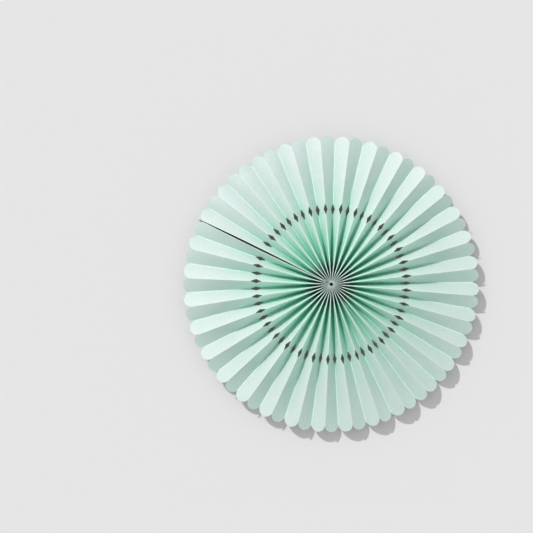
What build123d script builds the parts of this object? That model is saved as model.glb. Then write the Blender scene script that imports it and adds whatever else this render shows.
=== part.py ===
from build123d import *
import math
import os

os.makedirs("parts", exist_ok=True)

# Disc of pleated card, in millimetres. It lies flat, and its front faces +Z.
ridge_count = 32
tip_radius = 203.0
scallop_depth = 8.6
rim_rise = 9.0
card_thickness = 0.2
hub_gap = 0.03
facet_spans = 4

# V cut through every fold of the closed stack, which opens as a diamond
diamond_radius = 103.0
diamond_length = 14.5
notch_depth = 5.3

# Seam: two glue panels hang face to face under one ridge, with tape between them
seam_azimuth = 153.9
slit_at_rim = 1.0
slit_bulge = 1.5
glue_panel_setback = 6.0
tape_thickness = 0.15
tape_width = 8.0
tape_height = 1.0
tape_setback = 12.0
tape_end_gap = 8.0

# The slit takes up a thin wedge, and the 64 open panels share the rest of the circle
half_skin = card_thickness / 2
half_tape = tape_thickness / 2
slit_half_angle = math.atan(slit_at_rim / 2 / tip_radius)
half_pitch = (math.pi - slit_half_angle) / ridge_count
seam_half_pitch = half_pitch + slit_half_angle
hub_radius = (card_thickness + hub_gap) / math.sin(half_pitch)
glue_panel_radius = hub_radius + glue_panel_setback
notch_radius = tip_radius - scallop_depth
blank_radius = tip_radius / math.cos(seam_half_pitch)


def panel_run(radius):
    """Width of a panel in plan, between the bends of its two folds."""
    return radius * math.sin(half_pitch) - card_thickness


# A panel keeps its width from hub to rim, so it stands up at the hub and leans out to the rim
panel_width = math.hypot(rim_rise, panel_run(blank_radius))
mid_height = (panel_width + card_thickness) / 2


def panel_tilt(radius):
    """Angle of a panel to the floor."""
    return math.acos(panel_run(radius) / panel_width)


def ridge_height(radius):
    """Middle of the card along the ridge folds. Front and back of the disc are alike."""
    return mid_height + panel_width / 2 * math.sin(panel_tilt(radius))


def valley_height(radius):
    return mid_height - panel_width / 2 * math.sin(panel_tilt(radius))


def outer_fold(radius):
    """Half the width of the flat outer side of a fold."""
    return half_skin * (1 + math.tan(panel_tilt(radius) / 2))


def inner_fold(radius):
    """How far the sharp inner side of a fold lies from the middle of the card."""
    return half_skin * math.tan((math.pi / 2 - panel_tilt(radius)) / 2)


def fold_stations():
    """Radii of the profiles: the hub, then equal steps of tilt from the glue panels' start."""
    first = panel_tilt(glue_panel_radius)
    step = (panel_tilt(blank_radius) - first) / facet_spans
    runs = [panel_width * math.cos(first + step * index) for index in range(facet_spans + 1)]
    return [hub_radius] + [(run + card_thickness) / math.sin(half_pitch) for run in runs]


def facet(*corners):
    return make_face(Polyline(*corners, close=True))


def skin_between(profiles, creases):
    """Closed solid over a row of profiles with matching corners. A twisted side is creased along one
    diagonal, from a corner of the nearer profile to a corner of the further one."""
    faces = [facet(*profiles[0]), facet(*profiles[-1])]
    count = len(profiles[0])
    for near, far in zip(profiles, profiles[1:]):
        for first in range(count):
            second = (first + 1) % count
            if (first, second) in creases:
                faces.append(facet(near[first], near[second], far[second]))
                faces.append(facet(near[first], far[second], far[first]))
            elif (second, first) in creases:
                faces.append(facet(near[first], near[second], far[first]))
                faces.append(facet(near[second], far[second], far[first]))
            else:
                faces.append(facet(near[first], near[second], far[second], far[first]))
    return Solid(Shell(faces))


def folded_panel(ridge_side, valley_angle):
    """One panel with half of each fold. Its ridge runs beside +X, at an offset that may change
    along it, and its valley is a radial line."""
    profiles = []
    for radius in fold_stations():
        along = radius * math.cos(valley_angle)
        start = ridge_side(along)
        end = radius * math.sin(valley_angle)
        top = ridge_height(radius)
        low = valley_height(radius)
        corners = [
            (start, top + half_skin),
            (start + outer_fold(radius), top + half_skin),
            (end, low + inner_fold(radius)),
            (end, low - half_skin),
            (end - outer_fold(radius), low - half_skin),
            (start, top - inner_fold(radius)),
        ]
        profiles.append([(along, y, z) for y, z in corners])
    return skin_between(profiles, ((1, 2), (5, 4)))


def polar_point(radius, angle):
    return (radius * math.cos(angle), radius * math.sin(angle))


def through_card(plan):
    """Prism of a plan outline, through the whole height of the disc."""
    return Pos(0, 0, -panel_width) * extrude(plan, amount=3 * panel_width)


def rounded_end(ridge_offset, valley_angle):
    """What is kept of one panel: everything up to an arc from fold to fold."""
    ridge_notch = (notch_radius, ridge_offset)
    valley_notch = polar_point(notch_radius, valley_angle)
    tip_angle = (ridge_offset / notch_radius + valley_angle) / 2
    arc = ThreePointArc(ridge_notch, polar_point(tip_radius, tip_angle), valley_notch)
    sides = Polyline(
        valley_notch,
        (valley_notch[0], valley_notch[1] + panel_width),
        (-panel_width, valley_notch[1] + panel_width),
        (-panel_width, -panel_width),
        (notch_radius, -panel_width),
        ridge_notch,
    )
    return through_card(make_face(arc + sides))


def diamond():
    """The opening that the V cut leaves in plan, on a fold along +X."""
    half_length = diamond_length / 2
    half_width = half_skin + notch_depth * math.cos(panel_tilt(diamond_radius))
    plan = Polyline((-half_length, 0), (0, half_width), (half_length, 0), (0, -half_width), close=True)
    return through_card(Pos(diamond_radius, 0) * make_face(plan))


def cut_panel(ridge_side, valley_angle):
    panel = folded_panel(ridge_side, valley_angle) & rounded_end(ridge_side(notch_radius), valley_angle)
    panel = panel - Pos(0, ridge_side(diamond_radius), 0) * diamond()
    return panel - Rot(0, 0, math.degrees(valley_angle)) * diamond()


def on_axis(along):
    return 0.0


def slit_side(along):
    """Half the width of the slit between the seam's two folded edges, which bow apart halfway out."""
    bow = slit_bulge / 2 * math.sin(math.pi * along / tip_radius)
    return half_tape + along * math.tan(slit_half_angle) + bow


def beside_glue_panel(along):
    return slit_side(along) + card_thickness


def glue_panel():
    """Hangs from the seam's ridge. It leans in to the tape and runs straight down beside it."""
    tape_top = tape_height + tape_width
    profiles = []
    for radius in fold_stations()[1:]:
        along = radius * math.cos(seam_half_pitch)
        top = ridge_height(radius) + half_skin
        bend = ridge_height(radius) - inner_fold(radius)
        corners = [
            (slit_side(along), top),
            (beside_glue_panel(along), top),
            (beside_glue_panel(along), bend),
            (half_tape + card_thickness, tape_top),
            (half_tape + card_thickness, 0),
            (half_tape, 0),
            (half_tape, tape_top),
            (slit_side(along), bend),
        ]
        profiles.append([(along, y, z) for y, z in corners])
    return skin_between(profiles, ((2, 3), (7, 6))) & glue_panel_side_view()


def glue_panel_side_view():
    """The same rounded end and V cut as on the open panels, seen from the side."""
    end_top = ridge_height(notch_radius) + half_skin
    arc = ThreePointArc(
        (notch_radius, end_top),
        (tip_radius, end_top - panel_width / 2),
        (notch_radius, end_top - panel_width),
    )
    sides = Polyline(
        (notch_radius, end_top - panel_width),
        (0, -panel_width),
        (0, 2 * panel_width),
        (notch_radius, 2 * panel_width),
        (notch_radius, end_top),
    )
    fold_top = ridge_height(diamond_radius) + half_skin
    v_cut = Polyline(
        (diamond_radius, fold_top - notch_depth),
        (diamond_radius + diamond_length, fold_top + notch_depth),
        (diamond_radius - diamond_length, fold_top + notch_depth),
        close=True,
    )
    kept = make_face(arc + sides) - make_face(v_cut)
    return extrude(Plane.XZ * kept, amount=panel_width, both=True)


def skins(solid, *join_angles):
    """Faces of a piece, without those on the radial planes where the card runs on."""
    faces = solid.faces()
    for angle in join_angles:
        radial_plane = Plane((0, 0, 0), z_dir=(-math.sin(angle), math.cos(angle), 0))
        faces = faces.filter_by(radial_plane, reverse=True)
    return faces


def pleated_card():
    """The whole strip, folded and fanned round to meet itself at the seam."""
    open_skins = skins(cut_panel(on_axis, half_pitch), 0, half_pitch)
    seam_skins = skins(cut_panel(beside_glue_panel, seam_half_pitch) + glue_panel(), seam_half_pitch)
    pleat = open_skins + [mirror(face, Plane.XZ) for face in open_skins]
    faces = seam_skins + [mirror(face, Plane.XZ) for face in seam_skins]
    for index in range(ridge_count - 1):
        turn = Rot(0, 0, math.degrees(seam_half_pitch + (2 * index + 1) * half_pitch))
        faces += [turn * face for face in pleat]
    return Solid(Shell(faces))


def seam_tape():
    start = hub_radius + tape_setback
    length = notch_radius - tape_end_gap - start
    middle = (start + length / 2, 0, tape_height + tape_width / 2)
    return Pos(*middle) * Box(length, tape_thickness, tape_width)


nodes = {"pleated_card": pleated_card(), "seam_tape": seam_tape()}
for name, shape in nodes.items():
    export_step(Rot(0, 0, seam_azimuth) * shape, f"parts/{name}.step")
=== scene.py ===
import math
import random

import bpy
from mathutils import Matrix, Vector


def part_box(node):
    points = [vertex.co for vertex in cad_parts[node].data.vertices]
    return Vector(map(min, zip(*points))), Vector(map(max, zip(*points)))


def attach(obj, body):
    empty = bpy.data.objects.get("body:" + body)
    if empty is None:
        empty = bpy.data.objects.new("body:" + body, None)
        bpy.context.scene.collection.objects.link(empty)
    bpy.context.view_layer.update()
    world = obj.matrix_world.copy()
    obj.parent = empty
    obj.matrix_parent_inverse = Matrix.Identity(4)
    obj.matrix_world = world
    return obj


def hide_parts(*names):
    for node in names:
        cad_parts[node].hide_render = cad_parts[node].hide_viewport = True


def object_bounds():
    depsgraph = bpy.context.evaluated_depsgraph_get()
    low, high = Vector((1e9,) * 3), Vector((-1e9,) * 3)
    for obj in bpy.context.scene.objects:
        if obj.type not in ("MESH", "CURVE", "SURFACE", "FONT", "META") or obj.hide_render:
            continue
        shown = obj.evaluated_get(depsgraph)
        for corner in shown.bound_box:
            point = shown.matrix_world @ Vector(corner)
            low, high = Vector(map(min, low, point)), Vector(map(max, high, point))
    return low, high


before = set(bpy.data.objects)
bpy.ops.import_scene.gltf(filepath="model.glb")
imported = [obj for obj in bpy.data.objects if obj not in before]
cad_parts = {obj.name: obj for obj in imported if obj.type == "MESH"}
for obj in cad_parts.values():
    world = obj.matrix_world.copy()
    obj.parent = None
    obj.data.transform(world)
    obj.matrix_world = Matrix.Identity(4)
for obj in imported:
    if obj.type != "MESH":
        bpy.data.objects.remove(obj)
cad_low, cad_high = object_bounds()
tape_low, tape_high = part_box("seam_tape")

# Lengths are in metres, and angles in radians
mm = 0.001

# Card of the fan, folded into ridges and valleys and fanned round from the seam
ridge_count = 32
panel_count = 2 * ridge_count
tip_radius = 203.0 * mm
scallop_depth = 8.6 * mm
rim_rise = 9.0 * mm
card_thickness = 0.2 * mm
hub_crease = 0.115 * mm
open_crease = 0.3 * mm
crease_opens_by = 25.0 * mm
hub_radius = 2.55 * mm

# V cuts in the folds
diamond_radius = 103.0 * mm
diamond_length = 14.5 * mm
notch_depth = 5.3 * mm

# Seam, whose place is where the tape lies. The power moves the slit's widest place out from halfway.
tape_middle = (tape_low + tape_high) / 2
seam_azimuth = math.atan2(tape_middle.y, tape_middle.x)
slit_at_rim = 0.2 * mm
slit_bulge = 2.25 * mm
bulge_power = 1.3
glue_panel_radius = 8.4 * mm
half_tape = 0.075 * mm

# How the real folds stray from even ones. They crowd on the side away from the seam, and less
# strongly at two sides.
crowding = math.radians(2.6)
double_crowding = math.radians(0.72)
double_phase = math.radians(54)
azimuth_stray = math.radians(0.12)
height_stray = 0.55 * mm
panel_bow = 0.35 * mm
stray_seed = 11

# Rows of points from hub to rim, and columns across a panel
rows_to_glue_panel = 2
rows_to_diamond = 18
rows_in_diamond = 6
rows_to_notch = 17
rows_in_scallop = 8
scallop_end_angle = math.radians(84)
crease_margin = 0.4 * mm
columns_between = 4
glue_panel_columns = 5

# Edges that turn further than this stay sharp
sharp_angle = math.radians(50)

# Marks the points of a glue panel, where those of an open one hold their place from ridge to valley,
# 0 to 1. On its underside a glue panel looks as an open one does halfway.
glue_panel_mark = 2.0
halfway_place = 0.5

# Camera over the middle of the photo, and what its frame spans at the rim
camera_right = -88.5 * mm
camera_up = 24.3 * mm
camera_height = 1.8
frame_width = 731.0 * mm

# Light from the upper left of the photo. Levels are what each light adds on a level surface at the
# middle of the fan, and widths are angles from there. The sun lights the floor alone. It stands lower
# than the lamp, for a wider shadow.
light_azimuth = math.radians(127)
lamp_elevation = math.radians(47)
lamp_distance = 1.7
lamp_width = math.radians(3)
lamp_level = 0.47
lamp_tint = (1.13, 0.92, 1.0)
sun_elevation = math.radians(32)
sun_width = math.radians(1)
sun_level = 0.34

# Sky. Its level drops by this share of it from the horizon to overhead, and a level surface takes it
# as it is at the mean height, where 1 is overhead. The backdrop shows where it is seen or mirrored.
sky_level = 0.52
sky_tint = (0.925, 1.06, 1.03)
sky_drop = 1.2
mean_height = 2 / 3
backdrop_grey = 0.78

# Floor. Under the fan it has a painted shade, which fades out from the first of its radii to the second,
# and a faint painted glow in that shade, which grows from the first of its own radii to the second.
floor_half_side = 6.0
floor_grey = 0.92
floor_roughness = 0.9
painted_shade_grey = 0.08
painted_shade_radii = (130.0 * mm, 156.0 * mm)
painted_glow_level = 0.06
painted_glow_radii = (10.0 * mm, 40.0 * mm)

# Dyes and bare colours, and colours of painted light and shade
mint = (0.56, 0.73, 0.665)
mint_light = (0.60, 0.745, 0.695)
# Painted bounce light, greener and brighter towards the hub
bounce_light_mint = (0.58, 0.82, 0.715)
fibre_mint = (0.84, 0.93, 0.90)
# Painted shade low in the folds
painted_shade_mint = (0.20, 0.80, 0.56)
# Painted shade, nearly black, deep in the folds at the hub
painted_hub_shade = (0.0, 0.16, 0.08)
# Painted highlight on the crests near the hub
ridge_highlight_mint = (0.76, 1.0, 0.92)
# Painted bounce light along the valley lines
valley_bounce_mint = (0.80, 0.95, 0.88)
# Painted shade inside the seam's slit
painted_slit_shade = (0.0, 0.04, 0.02)
bare_card = (0.85, 0.90, 0.88)
tape_dull = (0.80, 0.80, 0.74)
tape_pale = (0.88, 0.88, 0.84)
white = (1.0, 1.0, 1.0)

# Where the dyes and the painted light and shade change, from first to last: radii along a panel, and
# places across it, from 0 at the ridge to 1 at the valley. A glue panel's mark lies beyond. Shares are
# how much of a dye or of painted light or shade shows.
# Painted bounce light fades out over these radii
bounce_light_radii = (70.0 * mm, 165.0 * mm)
grain_share = 0.25
# Painted shade on the valley side of each panel, weaker towards the rim
low_side_places = (0.55, 1.0)
low_side_radii = (60.0 * mm, 165.0 * mm)
low_side_shares = (0.4, 0.08)
# Near the hub, painted shade deep in the folds and a painted highlight on the crests
near_hub_radii = (15.0 * mm, 100.0 * mm)
near_hub_share = 0.95
painted_shade_places = (0.08, 0.45)
ridge_highlight_places = (0.02, 0.18)
# Nearly black painted shade over all but the crests at the hub
at_hub_radii = (14.0 * mm, 38.0 * mm)
at_hub_places = (0.0, 0.25)
# Painted bounce light along the valley lines
lit_valley_places = (0.945, 0.98)
lit_valley_share = 0.7
# Painted shade inside the seam's slit, on the glue panels
slit_places = (1.1, 1.8)
crease_places = (0.012, 0.05)
crease_share = 0.35

# Noise on card and tape: how large its lumps are, how much finer detail they have, and the span of
# its values over which it shows
cloud_size = 30.0 * mm
grain_size = 1.6 * mm
fibre_size = 0.5 * mm
edge_fibre_size = 0.3 * mm
mottle_size = 2.0 * mm
cloud_detail = 2.0
grain_detail = 3.0
fibre_detail = 4.0
mottle_detail = 3.0
wide_span = (0.3, 0.7)
middle_span = (0.35, 0.65)
narrow_span = (0.4, 0.6)

# Depth and strength of bumps, roughness and gloss
fibre_bump = (0.05 * mm, 0.25)
cloud_bump = (1.2 * mm, 0.35)
edge_bump = (0.05 * mm, 0.4)
mottle_bump = (0.1 * mm, 0.3)
card_roughness = (0.48, 0.62)
card_gloss = 0.3
edge_roughness = 0.8
tape_roughness = (0.25, 0.45)

half_card = card_thickness / 2
slit_half_angle = math.atan(slit_at_rim / 2 / tip_radius)
half_pitch = (math.pi - slit_half_angle) / ridge_count
notch_radius = tip_radius - scallop_depth
blank_radius = tip_radius / math.cos(half_pitch / 2)


def panel_run(radius, pitch):
    return radius * math.sin(pitch) - card_thickness


# The panels keep one width, so they stand up at the hub and lean out to the rim
panel_width = math.hypot(rim_rise, panel_run(blank_radius, half_pitch))
mid_height = cad_high.z / 2


def steps(start, end, count):
    return [start + (end - start) * index / count for index in range(1, count + 1)]


def smooth_step(value, start, end):
    share = min(max((value - start) / (end - start), 0), 1)
    return share * share * (3 - 2 * share)


def crease_radius(radius):
    """Of the small round at each fold. The creases are pressed tighter where they crowd at the hub."""
    return hub_crease + (open_crease - hub_crease) * smooth_step(radius, hub_radius, crease_opens_by)


class Fold:
    """One fold line, numbered from one side of the seam round to the other."""

    def __init__(self, number, dice):
        self.is_ridge = number % 2 == 0
        self.at_seam = number in (0, panel_count)
        self.side = 1 if number == 0 else -1
        turn = slit_half_angle + number * half_pitch
        double = 2 * turn + double_phase
        self.pitch = half_pitch * (1 + crowding * math.cos(turn) + 2 * double_crowding * math.cos(double))
        self.azimuth = seam_azimuth + turn + crowding * math.sin(turn)
        self.azimuth += double_crowding * (math.sin(double) - math.sin(double_phase))
        self.azimuth += azimuth_stray * dice.uniform(-1, 1)
        self.lift = height_stray * dice.uniform(-1, 1)

    def plan(self, radius):
        if not self.at_seam:
            return Vector((radius * math.cos(self.azimuth), radius * math.sin(self.azimuth), 0))
        across = seam_side(radius)
        return seam_point(math.sqrt(radius * radius - across * across), self.side * across, 0)

    def height(self, radius):
        run = min(panel_run(radius, self.pitch), panel_width)
        half_rise = math.sqrt(panel_width ** 2 - run ** 2) / 2
        stray = self.lift * smooth_step(radius, hub_radius, tip_radius)
        return mid_height + stray + (half_rise if self.is_ridge else -half_rise)

    def centre(self, radius):
        """Middle of the crease's small round."""
        inward = -1 if self.is_ridge else 1
        return self.plan(radius) + Vector((0, 0, self.height(radius) + inward * crease_radius(radius)))

    def crest(self, radius):
        return self.plan(radius) + Vector((0, 0, self.height(radius)))


def seam_point(along, across, height):
    """A point given along the seam, to its left and above the floor."""
    cosine = math.cos(seam_azimuth)
    sine = math.sin(seam_azimuth)
    return Vector((along * cosine - across * sine, along * sine + across * cosine, height))


def slit_side(radius):
    """Half the width of the slit between the seam's two folded edges, which bow apart a little beyond
    halfway out."""
    bow = slit_bulge / 2 * math.sin(math.pi * (radius / tip_radius) ** bulge_power)
    return half_tape + radius * math.tan(slit_half_angle) + bow


def seam_side(radius):
    """Distance of the seam's creases from its middle. They draw together before the glue panels end."""
    opening = smooth_step(radius, hub_radius, glue_panel_radius)
    return slit_side(radius) + (half_card + crease_radius(radius)) * opening


def rows():
    """Radius of each row of points, with the share of a panel's width that is cut from each side, and
    the share that is cut at the seam, where the photo shows no open V."""
    diamond_start = diamond_radius - diamond_length / 2
    diamond_end = diamond_radius + diamond_length / 2
    plain = [hub_radius] + steps(hub_radius, glue_panel_radius, rows_to_glue_panel)
    plain += steps(glue_panel_radius, diamond_start, rows_to_diamond)
    found = [(radius, 0.0, 0.0) for radius in plain]
    for radius in steps(diamond_start, diamond_end, rows_in_diamond)[:-1]:
        depth = notch_depth * (1 - abs(radius - diamond_radius) * 2 / diamond_length)
        found.append((radius, depth / panel_width, 0.0))
    plain = [diamond_end] + steps(diamond_end, notch_radius, rows_to_notch)
    return found + [(radius, 0.0, 0.0) for radius in plain] + scallop_rows()


def scallop_rows():
    """Rows of the rounded end, on a circle through the two notches and the tip."""
    half_angle = half_pitch / 2
    notch_along = notch_radius * math.cos(half_angle)
    half_chord = notch_radius * math.sin(half_angle)
    depth = tip_radius - notch_along
    arc_radius = (half_chord ** 2 + depth ** 2) / (2 * depth)
    arc_middle = tip_radius - arc_radius
    start_angle = math.asin((notch_along - arc_middle) / arc_radius)
    found = []
    for angle in steps(start_angle, scallop_end_angle, rows_in_scallop):
        radius = (arc_middle + arc_radius * math.sin(angle)) / math.cos(half_angle)
        kept = arc_radius * math.cos(angle) / (radius * math.sin(half_angle))
        cut = (1 - kept) / 2
        found.append((radius, cut, cut))
    return found


def columns():
    """Places across a panel, as shares of its width, with one close to each crease."""
    margin = crease_margin / panel_width
    return [0.0, margin] + steps(margin, 1 - margin, columns_between) + [1.0]


def panel_points(first, second, bow, radius, cut, seam_cut):
    """Middle of the card across one panel, which is tangent to the rounds of its two creases. At each
    end it has a point halfway up the round, unless the card is cut there."""
    cut_before = seam_cut if first.at_seam else cut
    cut_after = seam_cut if second.at_seam else cut
    ridge, valley = (first, second) if first.is_ridge else (second, first)
    start = ridge.centre(radius)
    end = valley.centre(radius)
    outward = Vector((end.x - start.x, end.y - start.y, 0))
    run = outward.length
    outward.normalize()
    drop = start.z - end.z
    bend = crease_radius(radius)
    up = Vector((0, 0, 1))
    tilt = math.atan2(drop, run) + math.asin(2 * bend / math.hypot(run, drop))
    normal = math.sin(tilt) * outward + math.cos(tilt) * up
    halfway = bend * (normal + up).normalized()
    ends = [(start + halfway, 0.0), (end - halfway, 1.0)]
    if not first.is_ridge:
        ends.reverse()
    start += bend * normal
    end -= bend * normal
    points = [None if cut_before else ends[0]]
    for column in columns():
        share = cut_before + (1 - cut_before - cut_after) * column
        from_ridge = share if first.is_ridge else 1 - share
        swell = bow * math.sin(math.pi * share) * smooth_step(radius, hub_radius, diamond_radius)
        points.append((start.lerp(end, from_ridge) + swell * normal, from_ridge))
    points.append(None if cut_after else ends[1])
    return points


def glue_panel_points(crease, radius, cut):
    """Middle of the card down one glue panel, which leans in to the tape and runs down beside it."""
    top = crease.centre(radius).z
    upper = top - cut * panel_width
    lower = max(half_card, top - (1 - cut) * panel_width)
    along = crease.plan(radius).dot(seam_point(1, 0, 0))
    points = []
    for index in range(glue_panel_columns):
        share = index / (glue_panel_columns - 1)
        height = upper + (lower - upper) * share
        spread = max(0, (height - tape_high.z) / (top - tape_high.z))
        across = half_card + half_tape + (slit_side(radius) - half_tape) * spread
        points.append((seam_point(along, crease.side * across, height), glue_panel_mark))
    return points


def seam_crease_points(crease, radius):
    """Round of the seam's crease, from the glue panel up to its crest."""
    inward = seam_point(0, -crease.side, 0)
    halfway = crease.centre(radius) + crease_radius(radius) * (inward + Vector((0, 0, 1))).normalized()
    return [(halfway, 0.0), (crease.crest(radius), 0.0)]


def card_row(folds, bows, radius, cut, seam_cut):
    """One row, from one glue panel round to the other. Where the card is cut away, it holds None."""
    ends = []
    for crease in (folds[0], folds[-1]):
        glue = [None] * glue_panel_columns
        if radius >= glue_panel_radius:
            glue = glue_panel_points(crease, radius, seam_cut)
        has_crease = seam_cut == 0 and radius >= glue_panel_radius
        ends.append(glue[::-1] + (seam_crease_points(crease, radius) if has_crease else [None] * 2))
    row = ends[0]
    for number, bow in enumerate(bows):
        first = folds[number]
        second = folds[number + 1]
        row += panel_points(first, second, bow, radius, cut, seam_cut)
        if not second.at_seam:
            share = 0.0 if second.is_ridge else 1.0
            row.append(None if cut else (second.crest(radius), share))
    return row + ends[1][::-1]


def card_grid():
    dice = random.Random(stray_seed)
    folds = [Fold(number, dice) for number in range(panel_count + 1)]
    bows = [panel_bow * dice.uniform(-1, 1) for _ in range(panel_count)]
    return [card_row(folds, bows, *row) for row in rows()]


def mesh_from_grid(name, grid):
    """Quads between the points that are there, with each point's place from ridge to valley."""
    points = []
    shares = []
    index_of = {}
    for row_number, row in enumerate(grid):
        for column_number, entry in enumerate(row):
            if entry:
                index_of[row_number, column_number] = len(points)
                points.append(entry[0])
                shares.append(entry[1])
    faces = []
    for row_number in range(len(grid) - 1):
        for column_number in range(len(grid[0]) - 1):
            corners = [
                (row_number, column_number),
                (row_number + 1, column_number),
                (row_number + 1, column_number + 1),
                (row_number, column_number + 1),
            ]
            if all(corner in index_of for corner in corners):
                faces.append([index_of[corner] for corner in corners])
    mesh = bpy.data.meshes.new(name)
    mesh.from_pydata(points, [], faces)
    mesh.attributes.new("from_ridge", "FLOAT", "POINT").data.foreach_set("value", shares)
    return mesh


def link(name, data):
    piece = bpy.data.objects.new(name, data)
    bpy.context.scene.collection.objects.link(piece)
    return piece


def only_selected(piece):
    bpy.ops.object.select_all(action="DESELECT")
    piece.select_set(True)
    bpy.context.view_layer.objects.active = piece


def folded_card():
    piece = link("folded_card", mesh_from_grid("folded_card", card_grid()))
    skin = piece.modifiers.new("card thickness", "SOLIDIFY")
    skin.thickness = card_thickness
    skin.offset = 0
    skin.use_even_offset = True
    skin.material_offset_rim = 1
    only_selected(piece)
    bpy.ops.object.modifier_apply(modifier=skin.name)
    turn_underside_over(piece.data)
    bpy.ops.object.shade_smooth_by_angle(angle=sharp_angle)
    return piece


def turn_underside_over(mesh):
    """The second half of the points is the card's underside, where the valley folds are the crests."""
    places = mesh.attributes["from_ridge"].data
    for place in places[len(places) // 2:]:
        place.value = halfway_place if place.value > 1 else 1 - place.value


class Nodes:
    """Node tree of a material or the world, with short ways to add to it."""

    def __init__(self, owner, shader):
        owner.use_nodes = True
        self.owner = owner
        self.tree = owner.node_tree
        self.inputs = self.tree.nodes[shader].inputs

    def add(self, kind, **settings):
        node = self.tree.nodes.new(kind)
        for key, value in settings.items():
            setattr(node, key, value)
        return node

    def link(self, output, socket):
        self.tree.links.new(output, socket)

    def coordinates(self):
        return self.add("ShaderNodeTexCoord").outputs["Object"]

    def radius(self):
        """Distance from the fan's axis."""
        plan = self.add("ShaderNodeVectorMath", operation="MULTIPLY")
        plan.inputs[1].default_value = (1, 1, 0)
        self.link(self.coordinates(), plan.inputs[0])
        length = self.add("ShaderNodeVectorMath", operation="LENGTH")
        self.link(plan.outputs["Vector"], length.inputs[0])
        return length.outputs["Value"]

    def noise(self, size, detail):
        """Noise whose lumps are about as large as size."""
        node = self.add("ShaderNodeTexNoise")
        node.inputs["Scale"].default_value = 1 / size
        node.inputs["Detail"].default_value = detail
        self.link(self.coordinates(), node.inputs["Vector"])
        return node.outputs["Fac"]

    def ramp(self, value, span, levels=(0.0, 1.0)):
        """The first level before the span, the second after it, and smooth between them."""
        node = self.add("ShaderNodeMapRange", interpolation_type="SMOOTHSTEP")
        for key, setting in zip(("From Min", "From Max", "To Min", "To Max"), (*span, *levels)):
            node.inputs[key].default_value = setting
        self.link(value, node.inputs["Value"])
        return node.outputs["Result"]

    def combine(self, operation, first, second):
        node = self.add("ShaderNodeMath", operation=operation)
        self.link(first, node.inputs[0])
        self.link(second, node.inputs[1])
        return node.outputs["Value"]

    def times(self, first, second):
        return self.combine("MULTIPLY", first, second)

    def blend(self, share, first, second):
        """Mix of two colours, each a value or an output."""
        node = self.add("ShaderNodeMix", data_type="RGBA")
        self.link(share, node.inputs["Factor"])
        for value, socket in ((first, node.inputs[6]), (second, node.inputs[7])):
            if isinstance(value, tuple):
                socket.default_value = (*value, 1)
            else:
                self.link(value, socket)
        return node.outputs[2]

    def bump(self, height, depth_and_strength, normal=None):
        """Bumps in the surface, on top of those in normal."""
        node = self.add("ShaderNodeBump")
        for key, setting in zip(("Distance", "Strength"), depth_and_strength):
            node.inputs[key].default_value = setting
        self.link(height, node.inputs["Height"])
        if normal:
            self.link(normal, node.inputs["Normal"])
        return node.outputs["Normal"]


def new_material(name):
    return Nodes(bpy.data.materials.new(name), "Principled BSDF")


def card_colour_with_painted_light(nodes, clouds):
    """A fine faint grain and fainter clouds, pale where the card is creased. Painted on top of the dye:
    bounce light that makes it greener and brighter towards the hub, shade low in the folds that is nearly
    black at the hub, a highlight on the crests near the hub, bounce light along the valley lines, and
    shade inside the seam's slit."""
    place = nodes.add("ShaderNodeAttribute", attribute_name="from_ridge").outputs["Fac"]
    radius = nodes.radius()
    near_hub = nodes.ramp(radius, near_hub_radii, (near_hub_share, 0.0))
    at_hub = nodes.ramp(radius, at_hub_radii, (1.0, 0.0))

    dye_and_painted_light = nodes.blend(nodes.ramp(clouds, middle_span), mint, mint_light)
    # Painted bounce light: greener and brighter towards the hub.
    dye_and_painted_light = nodes.blend(nodes.ramp(radius, bounce_light_radii), bounce_light_mint, dye_and_painted_light)
    grain = nodes.ramp(nodes.noise(grain_size, grain_detail), middle_span, (0.0, grain_share))
    dye_and_painted_light = nodes.blend(grain, dye_and_painted_light, fibre_mint)
    # Painted shade low in the folds: on the valley side out to the rim, and over all but the crests near
    # the hub.
    low_side = nodes.ramp(radius, low_side_radii, low_side_shares)
    dye_and_painted_light = nodes.blend(nodes.times(nodes.ramp(place, low_side_places), low_side), dye_and_painted_light, painted_shade_mint)
    dye_and_painted_light = nodes.blend(nodes.times(nodes.ramp(place, painted_shade_places), near_hub), dye_and_painted_light, painted_shade_mint)
    # Painted highlight on the crests near the hub.
    painted_ridge_highlight = nodes.ramp(place, ridge_highlight_places, (1.0, 0.0))
    dye_and_painted_light = nodes.blend(nodes.times(painted_ridge_highlight, near_hub), dye_and_painted_light, ridge_highlight_mint)
    # Painted shade, nearly black, over all but the crests at the hub.
    dye_and_painted_light = nodes.blend(nodes.times(nodes.ramp(place, at_hub_places), at_hub), dye_and_painted_light, painted_hub_shade)
    # Painted bounce light along the valley lines.
    dye_and_painted_light = nodes.blend(nodes.ramp(place, lit_valley_places, (0.0, lit_valley_share)), dye_and_painted_light, valley_bounce_mint)
    # Painted shade inside the seam's slit, on the glue panels.
    dye_and_painted_light = nodes.blend(nodes.ramp(place, slit_places), dye_and_painted_light, painted_slit_shade)
    return nodes.blend(nodes.ramp(place, crease_places, (crease_share, 0.0)), dye_and_painted_light, bare_card)


def card_face():
    """Dyed card with painted light and shade, matt, with fibres that show in its roughness."""
    nodes = new_material("mint card")
    clouds = nodes.noise(cloud_size, cloud_detail)
    fibres = nodes.noise(fibre_size, fibre_detail)
    nodes.link(card_colour_with_painted_light(nodes, clouds), nodes.inputs["Base Color"])
    nodes.link(nodes.ramp(fibres, wide_span, card_roughness), nodes.inputs["Roughness"])
    normal = nodes.bump(clouds, cloud_bump, nodes.bump(fibres, fibre_bump))
    nodes.link(normal, nodes.inputs["Normal"])
    nodes.inputs["Specular IOR Level"].default_value = card_gloss
    return nodes.owner


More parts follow.
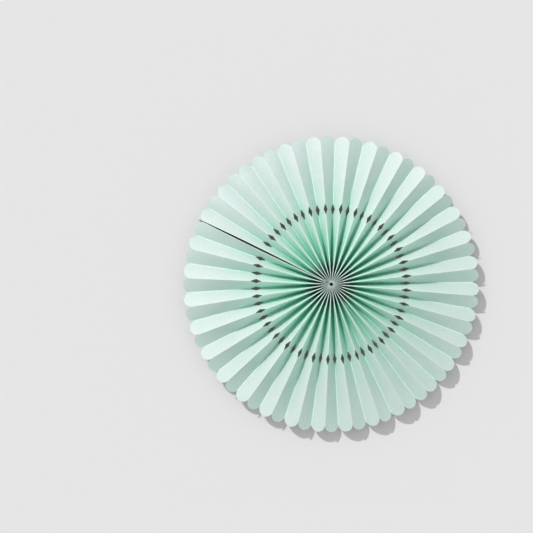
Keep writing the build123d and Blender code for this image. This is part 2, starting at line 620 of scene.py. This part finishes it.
def card_edge():
    """Cut edge of the card, paler than its faces and rough with fibres."""
    nodes = new_material("card edge")
    fibres = nodes.noise(edge_fibre_size, fibre_detail)
    colour = nodes.blend(nodes.ramp(fibres, wide_span), bare_card, mint_light)
    nodes.link(colour, nodes.inputs["Base Color"])
    nodes.link(nodes.bump(fibres, edge_bump), nodes.inputs["Normal"])
    nodes.inputs["Roughness"].default_value = edge_roughness
    return nodes.owner


def tape_film():
    """Double-sided tape: milky, with a faint mottle where it has bonded."""
    nodes = new_material("adhesive tape")
    mottle = nodes.noise(mottle_size, mottle_detail)
    colour = nodes.blend(nodes.ramp(mottle, narrow_span), tape_dull, tape_pale)
    nodes.link(colour, nodes.inputs["Base Color"])
    nodes.link(nodes.ramp(mottle, wide_span, tape_roughness), nodes.inputs["Roughness"])
    nodes.link(nodes.bump(mottle, mottle_bump), nodes.inputs["Normal"])
    return nodes.owner


def floor_finish():
    """Matt, in a colour that makes up for the sky's tint. Where the fan covers the floor, it has a
    painted shade of even dark grey with a faint painted glow, and it is darker still under the hub's
    hole, where the glow is missing."""
    nodes = new_material("floor")
    radius = nodes.radius()
    # Painted shade where the fan covers the floor
    painted_under_fan = nodes.ramp(radius, painted_shade_radii, (1.0, 0.0))
    open_floor = tuple(floor_grey / tint for tint in sky_tint)
    nodes.link(nodes.blend(painted_under_fan, open_floor, (painted_shade_grey,) * 3), nodes.inputs["Base Color"])
    nodes.inputs["Emission Color"].default_value = (*white, 1)
    # Faint painted glow in that shade, missing under the hub's hole
    painted_glow = nodes.ramp(radius, painted_glow_radii, (0.0, painted_glow_level))
    nodes.link(nodes.times(painted_under_fan, painted_glow), nodes.inputs["Emission Strength"])
    nodes.inputs["Roughness"].default_value = floor_roughness
    nodes.inputs["Specular IOR Level"].default_value = 0.0
    return nodes.owner


def floor():
    """Wide enough to fill every view."""
    half = floor_half_side
    mesh = bpy.data.meshes.new("floor")
    corners = [(-half, -half, 0), (half, -half, 0), (half, half, 0), (-half, half, 0)]
    mesh.from_pydata(corners, [], [(0, 1, 2, 3)])
    mesh.materials.append(floor_finish())
    piece = link("floor", mesh)
    return piece


def shine_on(source, pieces):
    """Keeps a light to some pieces. The others still shade them."""
    group = bpy.data.collections.new(source.name + " shines on")
    for piece in pieces:
        group.objects.link(piece)
    source.light_linking.receiver_collection = group


def light(fan, ground):
    """A soft warm lamp, so near that its side of the fan is the brighter one, and a sun that lights the
    floor evenly. With the sky, a level of 1 shows a colour as it is."""
    lamp = bpy.data.lights.new("lamp", "POINT")
    lamp.energy = lamp_level * math.pi / math.sin(lamp_elevation) * 4 * math.pi * lamp_distance ** 2
    lamp.shadow_soft_size = lamp_distance * math.tan(lamp_width / 2)
    lamp.color = lamp_tint
    sun = bpy.data.lights.new("sun", "SUN")
    sun.energy = sun_level * math.pi / math.sin(sun_elevation)
    sun.angle = sun_width
    sun.color = sky_tint
    for source, elevation, pieces in ((lamp, lamp_elevation, fan), (sun, sun_elevation, [ground])):
        placed = link(source.name, source)
        placed.location = lamp_distance * direction_to(light_azimuth, elevation)
        placed.rotation_mode = "QUATERNION"
        placed.rotation_quaternion = placed.location.to_track_quat("Z", "Y")
        shine_on(placed, pieces)


def direction_to(azimuth, elevation):
    flat = math.cos(elevation)
    return Vector((flat * math.cos(azimuth), flat * math.sin(azimuth), math.sin(elevation)))


def sky():
    """Brighter low down than overhead, and an even pale backdrop where it is seen or mirrored."""
    nodes = Nodes(bpy.data.worlds.new("sky"), "Background")
    direction = nodes.add("ShaderNodeSeparateXYZ")
    nodes.link(nodes.add("ShaderNodeTexCoord").outputs["Generated"], direction.inputs[0])
    level = nodes.add("ShaderNodeMath", operation="MULTIPLY_ADD")
    nodes.link(direction.outputs["Z"], level.inputs[0])
    level.inputs[1].default_value = -sky_level * sky_drop
    level.inputs[2].default_value = sky_level * (1 + sky_drop * mean_height)
    rays = nodes.add("ShaderNodeLightPath").outputs
    seen = rays["Is Camera Ray"]
    for name in ("Is Glossy Ray", "Is Transmission Ray"):
        seen = nodes.combine("MAXIMUM", seen, rays[name])
    strength = nodes.add("ShaderNodeMix", data_type="FLOAT")
    nodes.link(seen, strength.inputs["Factor"])
    nodes.link(level.outputs["Value"], strength.inputs["A"])
    strength.inputs["B"].default_value = backdrop_grey
    nodes.link(nodes.blend(seen, sky_tint, white), nodes.inputs["Color"])
    nodes.link(strength.outputs["Result"], nodes.inputs["Strength"])
    return nodes.owner


def camera():
    """Straight down on the photo's middle, which lies to the upper left of the fan."""
    data = bpy.data.cameras.new("camera")
    data.lens = data.sensor_width * (camera_height - mid_height) / frame_width
    viewer = link("camera", data)
    viewer.location = (camera_right, camera_up, camera_height)
    return viewer


card = folded_card()
card.data.materials.append(card_face())
card.data.materials.append(card_edge())
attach(card, "root")
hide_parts("pleated_card")

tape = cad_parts["seam_tape"]
tape.data.materials.clear()
tape.data.materials.append(tape_film())

ground = floor()
light([card, tape], ground)
bpy.context.scene.world = sky()
bpy.context.scene.camera = camera()
bpy.context.scene.view_settings.view_transform = "Standard"
